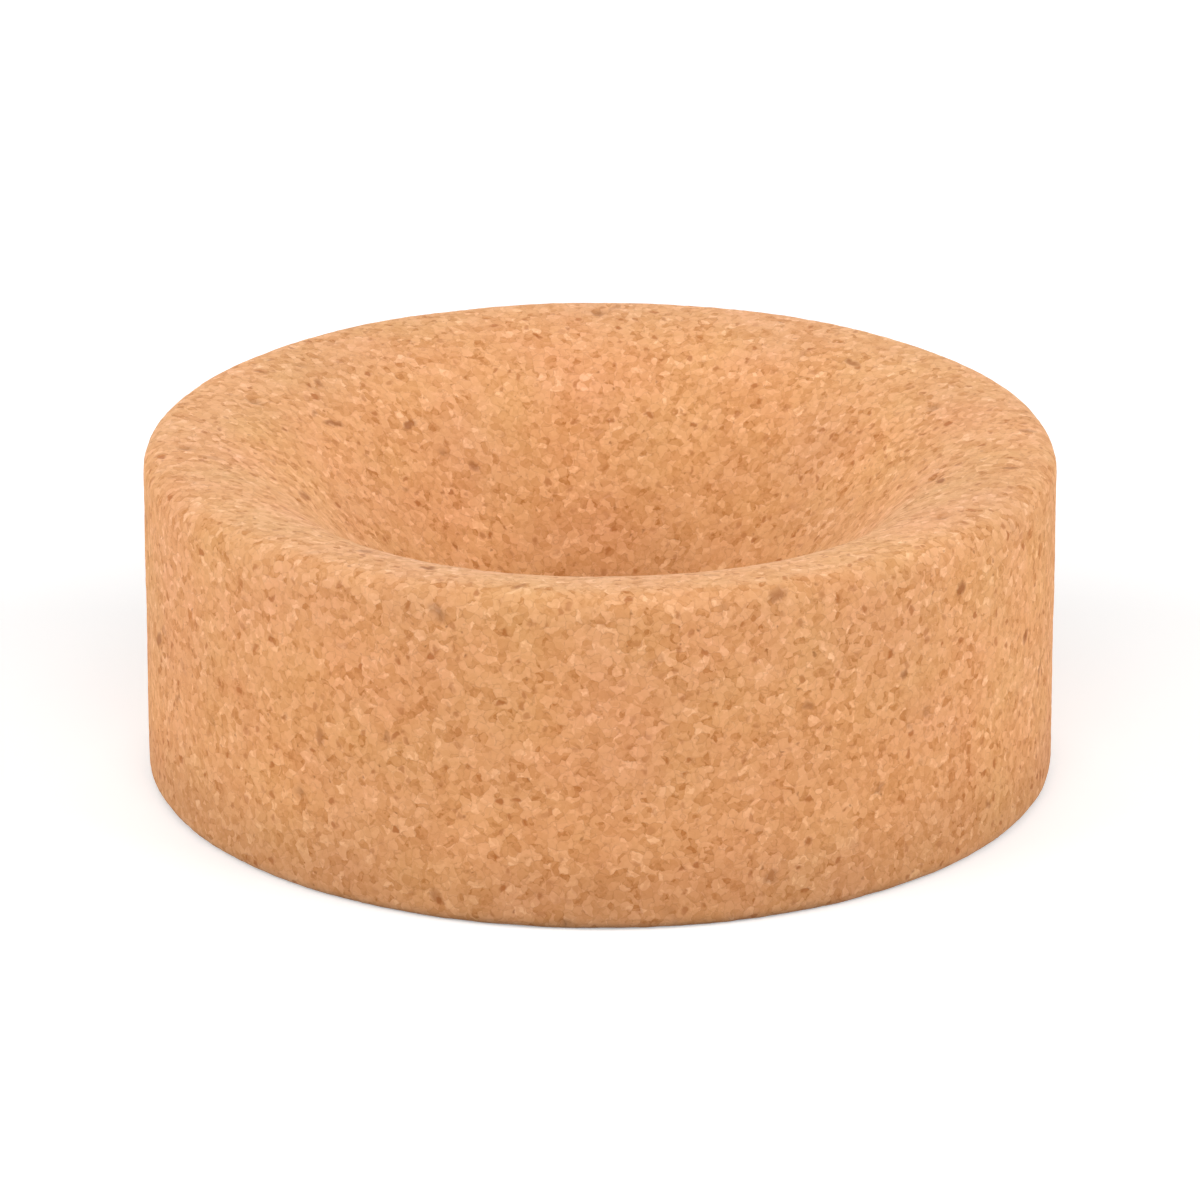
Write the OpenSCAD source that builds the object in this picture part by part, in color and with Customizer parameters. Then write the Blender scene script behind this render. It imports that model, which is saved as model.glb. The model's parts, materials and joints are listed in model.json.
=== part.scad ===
// Cork ring: a stand for round-bottomed flasks, turned from one block of
// agglomerated cork. A conical seat narrows to a straight hole through the base.
// The origin is the centre of the base, +Z is up, and every length is in mm.

/* [Ring] */
// Diameter of the outer wall
outer_d = 80; // [70:1:120]
// Height from the base to the top of the rim
height = 30; // [22:1:50]
// Diameter of the straight hole through the base
bore_d = 26; // [16:1:44]

/* [Flask seat] */
// Depth of the conical seat, from the top face to the throat
seat_depth = 17.5; // [10:0.5:24]
// Width of the rim, from the outer wall to the seat's mouth before it is rounded
rim_w = 9.5; // [5:0.5:12]
// Rounding of the lip, where the seat rolls out into the rim
lip_r = 17.5; // [3:0.5:20]
// Rounding of the throat, where the seat meets the hole
throat_r = 1.5; // [0.5:0.25:4]

/* [Edges] */
// Rounding of the rim's outer edge
rim_r = 2; // [0.5:0.25:4]
// Rounding of the base's outer edge
foot_r = 1.2; // [0.4:0.2:4]
// Rounding of the hole's edge at the base
hole_r = 0.8; // [0.4:0.2:3]

/* [Hidden] */
$fn = 240;

outer_wall = outer_d / 2;
bore_wall = bore_d / 2;
mouth = outer_wall - rim_w;
throat_z = height - seat_depth;

// Slope of the seat from the horizontal, in degrees
seat_slope = atan2(seat_depth, mouth - bore_wall);

// Length of the seat's side, and how much of it the throat's rounding takes
seat_side = norm([mouth - bore_wall, seat_depth]);
throat_take = throat_r * tan((90 - seat_slope) / 2);

// The lip's rounding, kept within the flat and the side that the rim and the throat leave for it
lip_round = min(lip_r, min(rim_w - rim_r, seat_side - throat_take) / tan(seat_slope / 2));

// Sharp corners of the ring's section as [distance from the axis, height],
// anticlockwise from the hole's edge at the base, and the rounding of each
corners = [
    [bore_wall, 0],
    [outer_wall, 0],
    [outer_wall, height],
    [mouth, height],
    [bore_wall, throat_z]
];
roundings = [hole_r, foot_r, rim_r, lip_round, throat_r];
count = len(corners);

// Arcs stand this far proud of their flats, so that the two meet with no step
seam = 0.0001;

// Reach of a corner's waste from its arc's centre, as a multiple of the rounding
waste_reach = 1.5;

function unit(v) = v / norm(v);

// Direction along the flat from corner i to its neighbour, where step is -1 or 1
function along(i, step) = unit(corners[(i + step + count) % count] - corners[i]);

// Half of the angle between the two flats that meet at corner i
function half_angle(i) = acos(along(i, -1) * along(i, 1)) / 2;

// From corner i to where its rounding runs into the flat on one side
function to_flat(i, step) = along(i, step) * roundings[i] / tan(half_angle(i));

// From corner i to the centre of its rounding
function to_centre(i) = unit(along(i, -1) + along(i, 1)) * roundings[i] / sin(half_angle(i));

// What is turned away outside the rounding of corner i
module corner_waste(i) {
    centre = to_centre(i);
    wedge = [[0, 0], to_flat(i, -1) - centre, -centre, to_flat(i, 1) - centre];
    translate(corners[i] + centre)
        difference() {
            polygon(wedge * waste_reach);
            circle(r = roundings[i] + seam);
        }
}

// Section of the ring on one side of its axis
module section() {
    difference() {
        polygon(corners);
        for (i = [0 : count - 1])
            corner_waste(i);
    }
}

module cork_ring() {
    color("#dd9e6b")
        rotate_extrude()
            section();
}

cork_ring();
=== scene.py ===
import json
import math

import bpy
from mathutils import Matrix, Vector


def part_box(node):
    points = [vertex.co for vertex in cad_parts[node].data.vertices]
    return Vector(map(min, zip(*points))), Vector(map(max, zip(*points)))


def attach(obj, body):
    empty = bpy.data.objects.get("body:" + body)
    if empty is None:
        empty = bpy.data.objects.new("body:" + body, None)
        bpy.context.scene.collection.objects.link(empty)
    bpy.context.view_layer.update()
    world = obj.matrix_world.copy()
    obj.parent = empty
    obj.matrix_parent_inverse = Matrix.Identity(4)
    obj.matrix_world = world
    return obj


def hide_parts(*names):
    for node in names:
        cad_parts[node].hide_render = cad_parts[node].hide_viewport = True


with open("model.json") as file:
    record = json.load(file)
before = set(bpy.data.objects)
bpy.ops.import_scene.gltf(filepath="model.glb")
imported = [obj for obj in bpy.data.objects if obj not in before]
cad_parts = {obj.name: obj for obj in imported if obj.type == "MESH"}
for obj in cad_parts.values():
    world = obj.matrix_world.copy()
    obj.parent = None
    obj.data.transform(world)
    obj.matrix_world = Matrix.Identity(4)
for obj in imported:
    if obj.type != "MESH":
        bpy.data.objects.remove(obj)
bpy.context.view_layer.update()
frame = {"record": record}


# ---------------------------------------------------------------- Cork ring
# The stand itself: one ring of fine agglomerated cork, which is cork granules pressed with a little
# binder into a block. It is turned and sanded on a lathe, so every granule is cut flush with the
# surface, the edges are soft, and here and there a granule has torn out and left a pit.

MM = 0.001

far_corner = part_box("cork_ring")[1]
mounts = {mount["name"]: mount for mount in frame["record"]["mounts"]}
outer_radius = far_corner.x
height = far_corner.z
hole_radius = mounts["bore"]["dims"]["r_mm"] * MM
throat_height = mounts["flask_seat"]["pos_m"][2]

# The rest of the section, which the seat and the edges were turned to
rim_width = 9.5 * MM
lip_rounding = 17.5 * MM
rim_rounding = 2 * MM
foot_rounding = 1.2 * MM
hole_rounding = 0.8 * MM
throat_rounding = 1.5 * MM

# How the cork is made up. Its real cells are about 0.04 mm, too fine to show, so they are drawn at
# 0.25 mm
granule = 0.75 * MM
fine_granule = 0.42 * MM
cell = 0.25 * MM
joint_half_width = 0.06 * MM
pore_spacing = 1.4 * MM
largest_pore_radius = 0.266 * MM


def linear(hex_colour):
    """A colour written as sRGB hex, as the linear values that a shader takes."""
    channels = [int(hex_colour[i:i + 2], 16) / 255 for i in (1, 3, 5)]
    return [c / 12.92 if c <= 0.04045 else ((c + 0.055) / 1.055) ** 2.4 for c in channels] + [1.0]


def add(tree, kind, settings, inputs):
    """Adds a node with its settings. An input is a value, or a node's output to link.

    A socket is called by its name, or by its number where several share the name. On a Mix node, 6 and
    7 are the two colours and 4 and 5 the two vectors. On a vector Map Range, 7 and 8 are the ends of
    what goes in, and 9 and 10 the ends of what comes out.
    """
    node = tree.nodes.new(kind)
    for name, value in settings.items():
        setattr(node, name, value)
    for key, value in inputs.items():
        if isinstance(value, bpy.types.NodeSocket):
            tree.links.new(value, node.inputs[key])
        else:
            node.inputs[key].default_value = value
    return node


# Fine agglomerated cork, turned and sanded. To the eye it is dull and warm, a close mosaic of
# granules in tans that differ a little, with brown flakes of bark and small dark pores.
cork = bpy.data.materials.new("sanded_fine_agglomerated_cork")
cork.use_nodes = True
shade = cork.node_tree
shade.nodes.clear()
place = add(shade, "ShaderNodeTexCoord", {}, {}).outputs["Object"]

# Granules are torn bits, not neat cells, so their outlines wander by about 0.2 mm
wander_size = 0.8 * MM
wander_range = 0.9 * MM
wander = add(shade, "ShaderNodeTexNoise", {}, {"Vector": place, "Scale": 1 / wander_size, "Detail": 2.0})
centred = add(shade, "ShaderNodeVectorMath", {"operation": "SUBTRACT"},
              {0: wander.outputs["Color"], 1: (0.5, 0.5, 0.5)})
torn = add(shade, "ShaderNodeVectorMath", {"operation": "MULTIPLY_ADD"},
           {0: centred.outputs[0], 1: (wander_range,) * 3, 2: place}).outputs[0]

# Tone: each granule has its own, a finer crush lies between them, and each granule has cells in it.
# The shares say how much each of the three counts
granules = add(shade, "ShaderNodeTexVoronoi", {}, {"Vector": torn, "Scale": 1 / granule})
granule_draw = add(shade, "ShaderNodeSeparateColor", {}, {0: granules.outputs["Color"]})
crush = add(shade, "ShaderNodeTexVoronoi", {}, {"Vector": torn, "Scale": 1 / fine_granule})
crush_draw = add(shade, "ShaderNodeSeparateColor", {}, {0: crush.outputs["Color"]})
cells = add(shade, "ShaderNodeTexNoise", {}, {"Vector": place, "Scale": 1 / cell, "Detail": 3.0})
tone = 0.0
for part, share in ((granule_draw.outputs[0], 0.56), (crush_draw.outputs[0], 0.26),
                    (cells.outputs["Fac"], 0.18)):
    tone = add(shade, "ShaderNodeMath", {"operation": "MULTIPLY_ADD"},
               {0: part, 1: share, 2: tone}).outputs[0]
tones = add(shade, "ShaderNodeValToRGB", {}, {"Fac": tone})
for position, colour in ((0.06, "#be753b"), (0.24, "#d99860"), (0.50, "#e4a671"),
                         (0.76, "#ecb07e"), (0.94, "#fbc898")):
    stop = tones.color_ramp.elements.new(position)
    stop.color = linear(colour)
tones.color_ramp.elements.remove(tones.color_ramp.elements[0])
tones.color_ramp.elements.remove(tones.color_ramp.elements[-1])

# Joints: a thin brown line of binder, here and there, where two granules meet
seams = add(shade, "ShaderNodeTexVoronoi", {"feature": "DISTANCE_TO_EDGE"},
            {"Vector": torn, "Scale": 1 / granule})
seam = add(shade, "ShaderNodeMapRange", {},
           {"Value": seams.outputs["Distance"], "From Min": 0.0,
            "From Max": joint_half_width / granule, "To Min": 0.35, "To Max": 0.0})
seam = add(shade, "ShaderNodeMath", {"operation": "MULTIPLY"},
           {0: seam.outputs[0], 1: crush_draw.outputs[1]})
jointed = add(shade, "ShaderNodeMix", {"data_type": "RGBA"},
              {0: seam.outputs[0], 6: tones.outputs[0], 7: linear("#ac6832")})


def bark_bits(where, spacing, radii, solid, gone, hidden, strongest):
    """How much bark shows at each place, from 0 to 1: scattered bits, each turned its own way.

    A bit fades out between solid and gone, as shares of its radii. A bit whose draw is under hidden
    doesn't show, and the others range from faint to strongest.
    """
    bits = add(shade, "ShaderNodeTexVoronoi", {}, {"Vector": where, "Scale": 1 / spacing})
    draw = add(shade, "ShaderNodeSeparateColor", {}, {0: bits.outputs["Color"]})
    from_bit = add(shade, "ShaderNodeVectorMath", {"operation": "SUBTRACT"},
                   {0: where, 1: bits.outputs["Position"]})
    turn = add(shade, "ShaderNodeVectorMath", {"operation": "SCALE"},
               {0: bits.outputs["Color"], "Scale": 2 * math.pi})
    turned = add(shade, "ShaderNodeVectorRotate", {"rotation_type": "EULER_XYZ"},
                 {"Vector": from_bit.outputs[0], "Rotation": turn.outputs[0]})
    reach = add(shade, "ShaderNodeVectorMath", {"operation": "DIVIDE"}, {0: turned.outputs[0], 1: radii})
    reach = add(shade, "ShaderNodeVectorMath", {"operation": "LENGTH"}, {0: reach.outputs[0]})
    inside = add(shade, "ShaderNodeMapRange", {"interpolation_type": "SMOOTHSTEP"},
                 {"Value": reach.outputs["Value"], "From Min": solid, "From Max": gone,
                  "To Min": 1.0, "To Max": 0.0})
    strength = add(shade, "ShaderNodeMapRange", {},
                   {"Value": draw.outputs[1], "From Min": hidden, "From Max": 1.0,
                    "To Min": 0.0, "To Max": strongest})
    return add(shade, "ShaderNodeMath", {"operation": "MULTIPLY"},
               {0: inside.outputs[0], 1: strength.outputs[0]}).outputs[0]


# Bark: thin brown flakes about 1 mm long, some of them faint
flake = bark_bits(torn, spacing=1.5 * MM, radii=(0.50 * MM, 0.38 * MM, 0.28 * MM),
                  solid=0.5, gone=1.2, hidden=0.15, strongest=0.8)
flaked = add(shade, "ShaderNodeMix", {"data_type": "RGBA"},
             {0: flake, 6: jointed.outputs[2], 7: linear("#b4672f")})

# Here and there a streak of bark about 2 mm long was left whole. The shift picks where they lie
streak_shift = (39 * MM, 21 * MM, 33 * MM)
streak_place = add(shade, "ShaderNodeVectorMath", {"operation": "ADD"}, {0: torn, 1: streak_shift})
streak = bark_bits(streak_place.outputs[0], spacing=5 * MM, radii=(1.4 * MM, 0.5 * MM, 0.9 * MM),
                   solid=0.4, gone=1.1, hidden=0.3, strongest=0.85)
streaked = add(shade, "ShaderNodeMix", {"data_type": "RGBA"},
               {0: streak, 6: flaked.outputs[2], 7: linear("#a05a28")})

# Pores: dark pinholes about 0.3 mm across, the largest 0.5 mm
pores = add(shade, "ShaderNodeTexVoronoi", {}, {"Vector": torn, "Scale": 1 / pore_spacing})
pore_draw = add(shade, "ShaderNodeSeparateColor", {}, {0: pores.outputs["Color"]})
pore_size = add(shade, "ShaderNodeMath", {"operation": "MULTIPLY"},
                {0: pore_draw.outputs[0], 1: largest_pore_radius / pore_spacing})
pore = add(shade, "ShaderNodeMapRange", {"interpolation_type": "SMOOTHSTEP"},
           {"Value": pores.outputs["Distance"], "From Min": 0.0, "From Max": pore_size.outputs[0],
            "To Min": 1.0, "To Max": 0.0})
dark = add(shade, "ShaderNodeMath", {"operation": "MULTIPLY"}, {0: pore.outputs[0], 1: 0.55})
pored = add(shade, "ShaderNodeMix", {"data_type": "RGBA"},
            {0: dark.outputs[0], 6: streaked.outputs[2], 7: linear("#964e1c")})

# Pits show the darker cork inside the block
pit = add(shade, "ShaderNodeAttribute", {"attribute_name": "pit"}, {}).outputs["Fac"]
pit_shade = add(shade, "ShaderNodeMath", {"operation": "MULTIPLY"}, {0: pit, 1: 0.6})
pitted = add(shade, "ShaderNodeMix", {"data_type": "RGBA"},
             {0: pit_shade.outputs[0], 6: pored.outputs[2], 7: linear("#94592e")})

# The batch isn't mixed evenly: over about a centimetre it turns pinker or yellower, darker or paler.
# Each W picks one of the many ways in which it could have been mixed
hue_size = 9 * MM
least_hue = (0.98, 0.965, 0.95)
most_hue = (1.02, 1.035, 1.05)
cloud_size = 11 * MM
hues = add(shade, "ShaderNodeTexNoise", {"noise_dimensions": "4D"},
           {"Vector": place, "W": 8.0, "Scale": 1 / hue_size, "Detail": 3.0})
hue = add(shade, "ShaderNodeMapRange", {"data_type": "FLOAT_VECTOR"},
          {"Vector": hues.outputs["Color"], 7: (0.3, 0.3, 0.3), 8: (0.7, 0.7, 0.7),
           9: least_hue, 10: most_hue})
hued = add(shade, "ShaderNodeVectorMath", {"operation": "MULTIPLY"},
           {0: pitted.outputs[2], 1: hue.outputs["Vector"]})
clouds = add(shade, "ShaderNodeTexNoise", {"noise_dimensions": "4D"},
             {"Vector": place, "W": 31.0, "Scale": 1 / cloud_size, "Detail": 3.0})
cloud = add(shade, "ShaderNodeMapRange", {},
            {"Value": clouds.outputs["Fac"], "From Min": 0.3, "From Max": 0.7,
             "To Min": 0.97, "To Max": 1.03})
clouded = add(shade, "ShaderNodeVectorMath", {"operation": "SCALE"},
              {0: hued.outputs[0], "Scale": cloud.outputs[0]})

# Painted light and shade: the wall is painted darker towards the foot and paler towards the top, and the
# seat darker at the throat and paler towards the top. The rim is painted paler and the least red, as a
# highlight looks. The tints multiply the colour's red, green and blue. The wall's gives way to the seat's
# within 2 mm of the outer wall, and both give way to the rim's in the top 3 mm
wall_foot_painted_shade = (0.985, 0.96, 0.92)
wall_top_painted_light = (1.03, 1.04, 1.035)
throat_painted_shade = (0.94, 0.945, 0.88)
seat_top_painted_highlight = (0.97, 1.01, 1.02)
rim_painted_highlight = (0.96, 1.0, 1.03)
spot = add(shade, "ShaderNodeSeparateXYZ", {}, {0: place})
across = add(shade, "ShaderNodeVectorMath", {"operation": "MULTIPLY"}, {0: place, 1: (1.0, 1.0, 0.0)})
from_axis = add(shade, "ShaderNodeVectorMath", {"operation": "LENGTH"}, {0: across.outputs[0]})
inward = add(shade, "ShaderNodeMapRange", {"interpolation_type": "SMOOTHSTEP"},
             {"Value": from_axis.outputs["Value"], "From Min": outer_radius - 2.0 * MM,
              "From Max": outer_radius - 0.3 * MM, "To Min": 1.0, "To Max": 0.0})
upward = add(shade, "ShaderNodeMapRange", {"interpolation_type": "SMOOTHSTEP"},
             {"Value": spot.outputs["Z"], "From Min": height - 3.0 * MM, "From Max": height - 0.5 * MM,
              "To Min": 0.0, "To Max": 1.0})
wall_painted_light_and_shade = add(shade, "ShaderNodeMapRange", {"data_type": "FLOAT_VECTOR"},
               {"Vector": spot.outputs["Z"], 7: (0.0,) * 3, 8: (height - 4 * MM,) * 3,
                9: wall_foot_painted_shade, 10: wall_top_painted_light})
seat_painted_light_and_shade = add(shade, "ShaderNodeMapRange", {"data_type": "FLOAT_VECTOR"},
               {"Vector": spot.outputs["Z"], 7: (throat_height,) * 3, 8: (height - 3 * MM,) * 3,
                9: throat_painted_shade, 10: seat_top_painted_highlight})
painted_light_and_shade = add(shade, "ShaderNodeMix", {"data_type": "VECTOR"},
             {0: inward.outputs[0], 4: wall_painted_light_and_shade.outputs["Vector"], 5: seat_painted_light_and_shade.outputs["Vector"]})
painted_light_and_shade = add(shade, "ShaderNodeMix", {"data_type": "VECTOR"},
             {0: upward.outputs[0], 4: painted_light_and_shade.outputs[1], 5: rim_painted_highlight})
# The colour with this painted light and shade
colour_with_painted_light = add(shade, "ShaderNodeVectorMath", {"operation": "MULTIPLY"},
                  {0: clouded.outputs[0], 1: painted_light_and_shade.outputs[1]})

# Painted shade: over the lowest centimetre the colour darkens towards the foot, as shade where the ring
# meets what it stands on
painted_shade_height = 10 * MM
foot_painted_shade = add(shade, "ShaderNodeMapRange", {"interpolation_type": "SMOOTHSTEP"},
            {"Value": spot.outputs["Z"], "From Min": 0.0, "From Max": painted_shade_height,
             "To Min": 0.82, "To Max": 1.0})
colour_with_painted_shade = add(shade, "ShaderNodeVectorMath", {"operation": "SCALE"},
             {0: colour_with_painted_light.outputs[0], "Scale": foot_painted_shade.outputs[0]})

# Relief, in metres: granules stand proud by hundredths of a millimetre, and joints, pores and flakes
# are sunk
relief = 0.0
for part, rise in ((granule_draw.outputs[1], 0.04 * MM), (crush_draw.outputs[2], 0.03 * MM),
                   (seam.outputs[0], -0.08 * MM), (pore.outputs[0], -0.12 * MM),
                   (flake, -0.05 * MM), (cells.outputs["Fac"], 0.04 * MM)):
    relief = add(shade, "ShaderNodeMath", {"operation": "MULTIPLY_ADD"},
                 {0: part, 1: rise, 2: relief}).outputs[0]
bump = add(shade, "ShaderNodeBump", {}, {"Strength": 0.6, "Distance": 1.0, "Height": relief})

roughness = add(shade, "ShaderNodeMapRange", {},
                {"Value": granule_draw.outputs[2], "To Min": 0.82, "To Max": 0.94})
# Its base colour holds the painted light and shade set above
surface = add(shade, "ShaderNodeBsdfPrincipled", {},
              {"Base Color": colour_with_painted_shade.outputs[0], "Roughness": roughness.outputs[0], "IOR": 1.45,
               "Diffuse Roughness": 0.5, "Specular IOR Level": 0.3, "Sheen Weight": 0.04,
               "Sheen Roughness": 0.5, "Normal": bump.outputs[0]})
add(shade, "ShaderNodeOutputMaterial", {}, {"Surface": surface.outputs[0]})

# The ring as a rule: a section with sharp corners is rounded, swept round the axis and weathered. The
# mesh step and the steps round keep it just under 200,000 triangles
rule = bpy.data.node_groups.new("turned_cork_ring", "GeometryNodeTree")
sizes = {"Outer radius": outer_radius, "Height": height, "Hole radius": hole_radius,
         "Throat height": throat_height, "Rim width": rim_width, "Lip rounding": lip_rounding,
         "Rim rounding": rim_rounding, "Foot rounding": foot_rounding,
         "Hole rounding": hole_rounding, "Throat rounding": throat_rounding,
         "Mesh step": 0.52 * MM, "Steps round": 500, "Seed": 3,
         "Granule": granule, "Granule relief": 0.02 * MM, "Sway size": 9 * MM, "Sway": 0.1 * MM,
         "Pit spacing": 6 * MM, "Pit radius": 1.1 * MM, "Pit depth": 0.4 * MM}
for name, value in sizes.items():
    kind = "NodeSocketInt" if isinstance(value, int) else "NodeSocketFloat"
    rule.interface.new_socket(name, in_out="INPUT", socket_type=kind)
rule.interface.new_socket("Geometry", in_out="OUTPUT", socket_type="NodeSocketGeometry")
given = rule.nodes.new("NodeGroupInput").outputs

# Section: x runs outwards from the outer wall, y runs down from the foot
arc_steps = 24
hole_x = add(rule, "ShaderNodeMath", {"operation": "SUBTRACT"},
             {0: given["Hole radius"], 1: given["Outer radius"]}).outputs[0]
mouth_x = add(rule, "ShaderNodeMath", {"operation": "MULTIPLY"},
              {0: given["Rim width"], 1: -1.0}).outputs[0]
top_y = add(rule, "ShaderNodeMath", {"operation": "MULTIPLY"}, {0: given["Height"], 1: -1.0}).outputs[0]
throat_y = add(rule, "ShaderNodeMath", {"operation": "MULTIPLY"},
               {0: given["Throat height"], 1: -1.0}).outputs[0]
corners = [(hole_x, 0.0, "Hole rounding"), (hole_x, throat_y, "Throat rounding"),
           (mouth_x, top_y, "Lip rounding"), (0.0, top_y, "Rim rounding"), (0.0, 0.0, "Foot rounding")]
index = add(rule, "GeometryNodeInputIndex", {}, {}).outputs[0]
corner_place = add(rule, "GeometryNodeIndexSwitch", {"data_type": "VECTOR"}, {0: index})
corner_round = add(rule, "GeometryNodeIndexSwitch", {"data_type": "FLOAT"}, {0: index})
for switch in (corner_place, corner_round):
    while len(switch.index_switch_items) < len(corners):
        switch.index_switch_items.new()
for i, (x, y, rounding) in enumerate(corners):
    corner = add(rule, "ShaderNodeCombineXYZ", {}, {"X": x, "Y": y})
    rule.links.new(corner.outputs[0], corner_place.inputs[i + 1])
    rule.links.new(given[rounding], corner_round.inputs[i + 1])
line = add(rule, "GeometryNodeMeshLine", {}, {"Count": len(corners)})
path = add(rule, "GeometryNodeMeshToCurve", {}, {"Mesh": line.outputs[0]})
path = add(rule, "GeometryNodeSetSplineCyclic", {}, {"Geometry": path.outputs[0], "Cyclic": True})
path = add(rule, "GeometryNodeSetPosition", {},
           {"Geometry": path.outputs[0], "Position": corner_place.outputs[0]})
path = add(rule, "GeometryNodeFilletCurve", {"mode": "POLY"},
           {"Curve": path.outputs[0], "Count": arc_steps, "Radius": corner_round.outputs[0],
            "Limit Radius": True})
section = add(rule, "GeometryNodeResampleCurve", {"mode": "LENGTH"},
              {"Curve": path.outputs[0], "Length": given["Mesh step"]})

# Turned round the axis
circle = add(rule, "GeometryNodeCurvePrimitiveCircle", {},
             {"Resolution": given["Steps round"], "Radius": given["Outer radius"]})
circle = add(rule, "GeometryNodeSetCurveNormal", {"mode": "Z_UP"}, {"Curve": circle.outputs[0]})
turning = add(rule, "GeometryNodeCurveToMesh", {},
              {"Curve": circle.outputs[0], "Profile Curve": section.outputs[0]})

# Sanding leaves the surface a little uneven, and granules stand proud by hundredths of a millimetre
position = add(rule, "GeometryNodeInputPosition", {}, {}).outputs[0]
normal = add(rule, "GeometryNodeInputNormal", {}, {}).outputs[0]
shift = add(rule, "ShaderNodeVectorMath", {"operation": "ADD"}, {0: position, 1: given["Seed"]}).outputs[0]
sway_scale = add(rule, "ShaderNodeMath", {"operation": "DIVIDE"}, {0: 1.0, 1: given["Sway size"]})
sway = add(rule, "ShaderNodeTexNoise", {},
           {"Vector": shift, "Scale": sway_scale.outputs[0], "Detail": 2.0})
sway_range = add(rule, "ShaderNodeMath", {"operation": "MULTIPLY"}, {0: given["Sway"], 1: 2.0})
sway = add(rule, "ShaderNodeMath", {"operation": "SUBTRACT"}, {0: sway.outputs["Fac"], 1: 0.5})
sway = add(rule, "ShaderNodeMath", {"operation": "MULTIPLY"},
           {0: sway.outputs[0], 1: sway_range.outputs[0]})
grain_scale = add(rule, "ShaderNodeMath", {"operation": "DIVIDE"}, {0: 1.0, 1: given["Granule"]})
grain = add(rule, "ShaderNodeTexVoronoi", {}, {"Vector": shift, "Scale": grain_scale.outputs[0]})
grain = add(rule, "ShaderNodeSeparateXYZ", {}, {0: grain.outputs["Color"]})
grain_range = add(rule, "ShaderNodeMath", {"operation": "MULTIPLY"}, {0: given["Granule relief"], 1: 2.0})
grain = add(rule, "ShaderNodeMath", {"operation": "SUBTRACT"}, {0: grain.outputs[1], 1: 0.5})
grain = add(rule, "ShaderNodeMath", {"operation": "MULTIPLY_ADD"},
            {0: grain.outputs[0], 1: grain_range.outputs[0], 2: sway.outputs[0]})

# Here and there a granule was torn out, which leaves a shallow pit
pit_scale = add(rule, "ShaderNodeMath", {"operation": "DIVIDE"}, {0: 1.0, 1: given["Pit spacing"]})
pits = add(rule, "ShaderNodeTexVoronoi", {}, {"Vector": shift, "Scale": pit_scale.outputs[0]})
pit_draw = add(rule, "ShaderNodeSeparateXYZ", {}, {0: pits.outputs["Color"]})
pit_reach = add(rule, "ShaderNodeMath", {"operation": "MULTIPLY"},
                {0: given["Pit radius"], 1: pit_draw.outputs[0]})
away = add(rule, "ShaderNodeMath", {"operation": "MULTIPLY"},
           {0: pits.outputs["Distance"], 1: given["Pit spacing"]})
pit = add(rule, "ShaderNodeMapRange", {"interpolation_type": "SMOOTHSTEP"},
          {"Value": away.outputs[0], "From Min": 0.0, "From Max": pit_reach.outputs[0],
           "To Min": 1.0, "To Max": 0.0})
deep = add(rule, "ShaderNodeMath", {"operation": "MULTIPLY"}, {0: pit.outputs[0], 1: given["Pit depth"]})
offset = add(rule, "ShaderNodeMath", {"operation": "SUBTRACT"}, {0: grain.outputs[0], 1: deep.outputs[0]})
offset = add(rule, "ShaderNodeVectorMath", {"operation": "SCALE"}, {0: normal, "Scale": offset.outputs[0]})
marked = add(rule, "GeometryNodeStoreNamedAttribute", {},
             {"Geometry": turning.outputs[0], "Name": "pit", "Value": pit.outputs[0]})
worn = add(rule, "GeometryNodeSetPosition", {},
           {"Geometry": marked.outputs[0], "Offset": offset.outputs[0]})

# Nothing reaches below the face that the ring stands on. Sideways the limit is a metre off
lowest = (-1.0, -1.0, 0.0)
above = add(rule, "ShaderNodeVectorMath", {"operation": "MAXIMUM"}, {0: position, 1: lowest})
worn = add(rule, "GeometryNodeSetPosition", {}, {"Geometry": worn.outputs[0], "Position": above.outputs[0]})
smooth = add(rule, "GeometryNodeSetShadeSmooth", {}, {"Geometry": worn.outputs[0]})
whole = add(rule, "GeometryNodeRealizeInstances", {}, {"Geometry": smooth.outputs[0]})
finished = add(rule, "GeometryNodeSetMaterial", {}, {"Geometry": whole.outputs[0], "Material": cork})
add(rule, "NodeGroupOutput", {}, {0: finished.outputs[0]})

# What the rule makes is turned into a plain mesh, and the blank that carried the rule is thrown away
blank = bpy.data.objects.new("blank", bpy.data.meshes.new("blank"))
bpy.context.scene.collection.objects.link(blank)
turned_by_rule = blank.modifiers.new("turned", "NODES")
turned_by_rule.node_group = rule
for item in rule.interface.items_tree:
    if item.in_out == "INPUT":
        turned_by_rule[item.identifier] = sizes[item.name]
ring_mesh = bpy.data.meshes.new_from_object(blank.evaluated_get(bpy.context.evaluated_depsgraph_get()))
bpy.data.objects.remove(blank)
ring_mesh.name = "cork_ring_turned"
ring = bpy.data.objects.new("cork_ring_turned", ring_mesh)
bpy.context.scene.collection.objects.link(ring)
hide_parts("cork_ring")
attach(ring, "root")


# ---------------------------------------------------------------- Floor
# A plain matt white table top, wide enough that its far edge is out of sight. It throws less light
# back up than it seems to, so that the ring's foot isn't lit from below.

table_half = 12.0
table_mesh = bpy.data.meshes.new("table_top")
table_mesh.from_pydata([(-table_half, -table_half, 0), (table_half, -table_half, 0),
                        (table_half, table_half, 0), (-table_half, table_half, 0)], [], [(0, 1, 2, 3)])
table = bpy.data.objects.new("table_top", table_mesh)
bpy.context.scene.collection.objects.link(table)


def seen_by_eye(tree):
    """1 for a ray that ends in the eye, straight or by way of gloss or glass, and 0 for other light."""
    ray = add(tree, "ShaderNodeLightPath", {}, {})
    seen = ray.outputs["Is Camera Ray"]
    for kind_of_ray in ("Is Glossy Ray", "Is Transmission Ray"):
        seen = add(tree, "ShaderNodeMath", {"operation": "MAXIMUM"},
                   {0: seen, 1: ray.outputs[kind_of_ray]}).outputs[0]
    return seen


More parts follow.
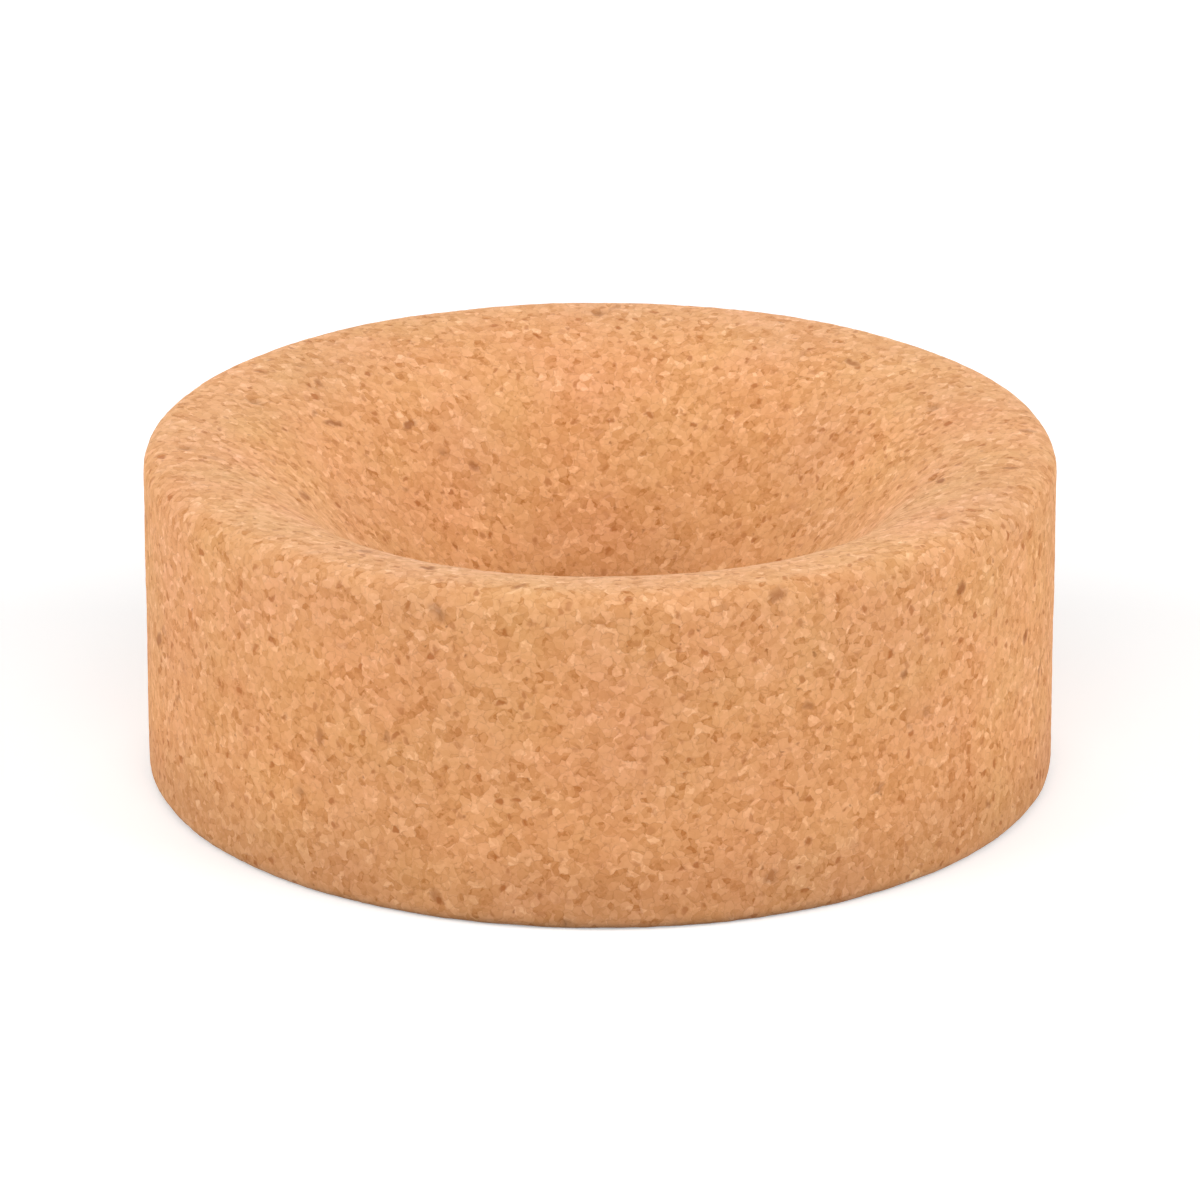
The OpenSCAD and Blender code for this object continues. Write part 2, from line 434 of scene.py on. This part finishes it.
# Matt white laminate. To the eye it is a clean white that holds a soft shadow.
matt_white = bpy.data.materials.new("matt_white_laminate")
matt_white.use_nodes = True
laminate = matt_white.node_tree
laminate.nodes.clear()
seen = seen_by_eye(laminate)
tint = add(laminate, "ShaderNodeMix", {"data_type": "RGBA"},
           {0: seen, 6: linear("#808080"), 7: linear("#f2f2f2")})
top_face = add(laminate, "ShaderNodeBsdfDiffuse", {}, {"Color": tint.outputs[2]})
lift = add(laminate, "ShaderNodeMath", {"operation": "MULTIPLY"}, {0: seen, 1: 0.3})
haze = add(laminate, "ShaderNodeEmission", {}, {"Color": (1.0, 1.0, 1.0, 1.0), "Strength": lift.outputs[0]})
lifted = add(laminate, "ShaderNodeAddShader", {}, {0: top_face.outputs[0], 1: haze.outputs[0]})
add(laminate, "ShaderNodeOutputMaterial", {}, {"Surface": lifted.outputs[0]})
table_mesh.materials.append(matt_white)


# ---------------------------------------------------------------- Light
# A soft tent: a large lamp low on each side, one above the front, weaker ones low in front and
# behind, and a dim even surround that looks white. Each lamp has its turn from the front and its rise
# in degrees, and its power in watts.

middle = Vector((0, 0, height / 2))
lamp_width = 1.0
lamp_distance = 1.2
lamps = [("left_softbox", -70, 20, 12.4), ("right_softbox", 70, 20, 12.4), ("front_softbox", 0, 50, 5.6),
         ("low_softbox", 0, 20, 2.7), ("back_softbox", 180, 20, 5.7)]
for name, turn_degrees, rise_degrees, watts in lamps:
    turn_angle = math.radians(turn_degrees)
    rise_angle = math.radians(rise_degrees)
    away = Vector((math.sin(turn_angle) * math.cos(rise_angle),
                   -math.cos(turn_angle) * math.cos(rise_angle),
                   math.sin(rise_angle)))
    softbox = bpy.data.lights.new(name, "AREA")
    softbox.shape = "SQUARE"
    softbox.size = lamp_width
    softbox.energy = watts
    stand = bpy.data.objects.new(name, softbox)
    stand.location = middle + lamp_distance * away
    stand.rotation_euler = (-away).to_track_quat("-Z", "Y").to_euler()
    bpy.context.scene.collection.objects.link(stand)

surround = bpy.data.worlds.new("white_surround")
bpy.context.scene.world = surround
surround.use_nodes = True
air = surround.node_tree
air.nodes.clear()
level = add(air, "ShaderNodeMapRange", {}, {"Value": seen_by_eye(air), "To Min": 0.1, "To Max": 1.0})
glow = add(air, "ShaderNodeBackground", {}, {"Color": (1.0, 1.0, 1.0, 1.0), "Strength": level.outputs[0]})
add(air, "ShaderNodeOutputWorld", {}, {"Surface": glow.outputs[0]})


# ---------------------------------------------------------------- Camera
# A long lens from a little above the rim, so that the seat shows but not the hole in it. It stands
# straight in front of the ring and is aimed at its middle.

camera_distance = 0.70
camera_rise = math.radians(20.45)
framed_width = 106 * MM
camera = bpy.data.cameras.new("camera")
camera.lens = camera.sensor_width * camera_distance / framed_width
tripod = bpy.data.objects.new("camera", camera)
tripod.location = middle + camera_distance * Vector((0, -math.cos(camera_rise), math.sin(camera_rise)))
tripod.rotation_euler = (middle - tripod.location).to_track_quat("-Z", "Y").to_euler()
bpy.context.scene.collection.objects.link(tripod)
bpy.context.scene.camera = tripod
bpy.context.scene.view_settings.view_transform = "Standard"
